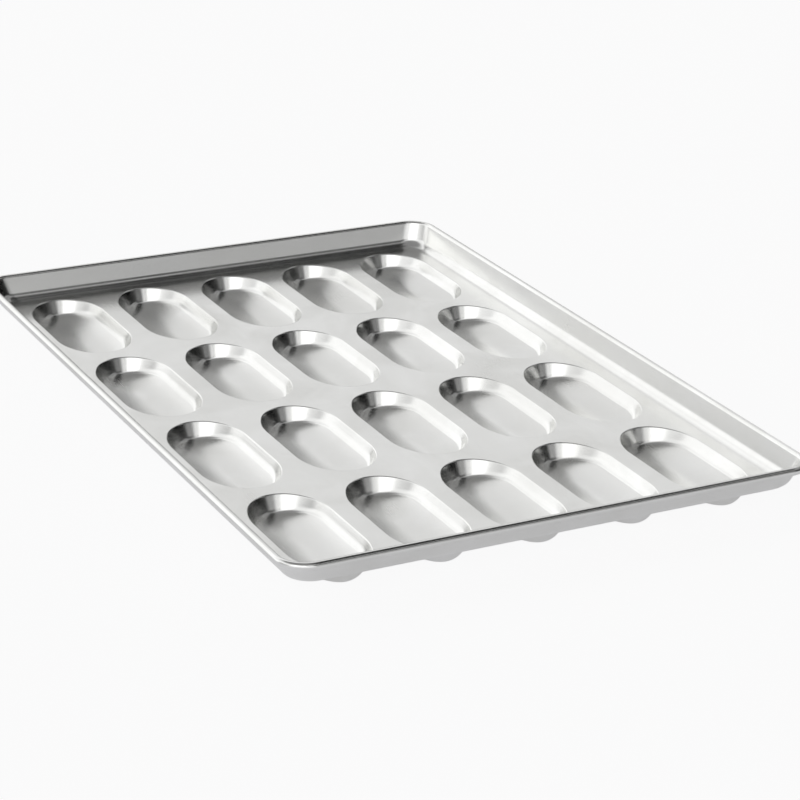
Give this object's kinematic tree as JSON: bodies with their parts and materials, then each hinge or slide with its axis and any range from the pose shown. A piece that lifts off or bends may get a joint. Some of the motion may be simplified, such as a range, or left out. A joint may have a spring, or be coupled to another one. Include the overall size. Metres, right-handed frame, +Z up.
{
  "type": "sandwich loaf pan",
  "caption": "Rectangular baking pan pressed from one bright metal sheet, with rows of shallow boat-shaped loaf moulds, low sloping walls and a rim curled over a wire.",
  "frame": {"origin": "middle of the base, on the plane that the undersides of the moulds rest on", "axes": "+Z up out of the moulds, +Y along the pan's long side and the length of each mould, +X along its short side"},
  "size_m": [0.454, 0.657, 0.0373],
  "materials": {
    "pan_sheet": "bright aluminised sheet steel, satin, with a faint rolling grain",
    "rim_wire": "drawn steel wire, hidden inside the curl"
  },
  "bodies": {
    "root": {"pan_sheet": "pan_sheet", "rim_wire": "rim_wire"}
  },
  "joints": []
}
